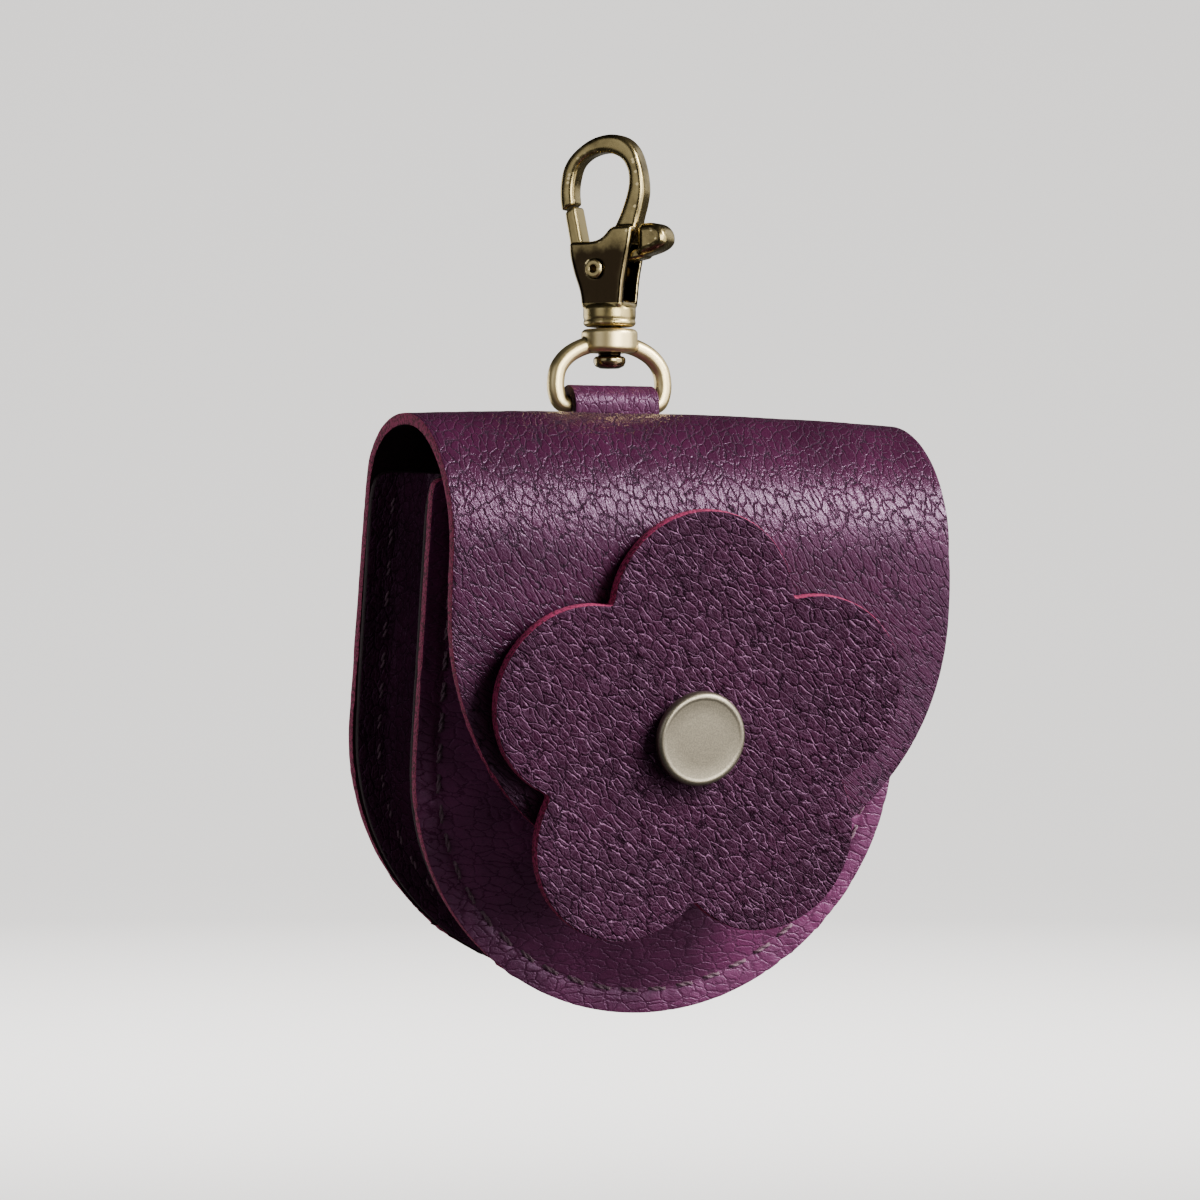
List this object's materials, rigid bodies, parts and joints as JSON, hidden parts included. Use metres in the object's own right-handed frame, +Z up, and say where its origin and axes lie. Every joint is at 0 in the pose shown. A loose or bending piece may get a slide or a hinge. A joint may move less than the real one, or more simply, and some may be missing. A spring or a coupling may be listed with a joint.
{
  "type": "leather flap pouch with swivel trigger hook",
  "caption": "Small leather flap pouch with a round bottom, a leather flower under its snap cap, and a swivel trigger hook to hang it by.",
  "frame": {"origin": "inner top of the trigger hook, where the pouch hangs on a ring or cord", "axes": "+Z up along the swivel axis, -Y out of the pouch's front, +X to the right seen from the front"},
  "size_m": [0.0723, 0.0454, 0.1186],
  "materials": {
    "plum_leather": "tumbled pebble grain, semi-matte, raw magenta edges",
    "antique_brass": "antiqued, dark in the recesses and rubbed bright on the edges",
    "cap_brass": "satin, finely speckled"
  },
  "bodies": {
    "clasp": {"clasp_body": "antique_brass", "gate_pin": "antique_brass", "swivel_post": "antique_brass"},
    "gate": {"gate_lever": "antique_brass"},
    "swivel": {"swivel_ring": "antique_brass"},
    "pouch": {"back_flap_panel": "plum_leather", "front_panel": "plum_leather", "gusset": "plum_leather", "tab_loop": "plum_leather", "flower": "plum_leather", "snap_cap": "cap_brass", "snap_socket": "antique_brass", "snap_stud": "antique_brass"}
  },
  "joints": [
    {"name": "gate_pivot", "type": "hinge", "parent": "clasp", "child": "gate", "pos_m": [-0.00049, 0.00063, -0.0159], "axis": [0.788, 0.6157, 0], "range_deg": [0, 20], "stiffness_Nm_per_rad": 0.02, "springref_deg": -28.65},
    {"name": "swivel_turn", "type": "hinge", "parent": "clasp", "child": "swivel", "pos_m": [0, 0, -0.0256], "axis": [0, 0, 1], "continuous": true},
    {"name": "pouch_swing", "type": "hinge", "parent": "swivel", "child": "pouch", "pos_m": [0, 0, -0.0345], "axis": [1, 0, 0], "range_deg": [-60, 105]}
  ]
}
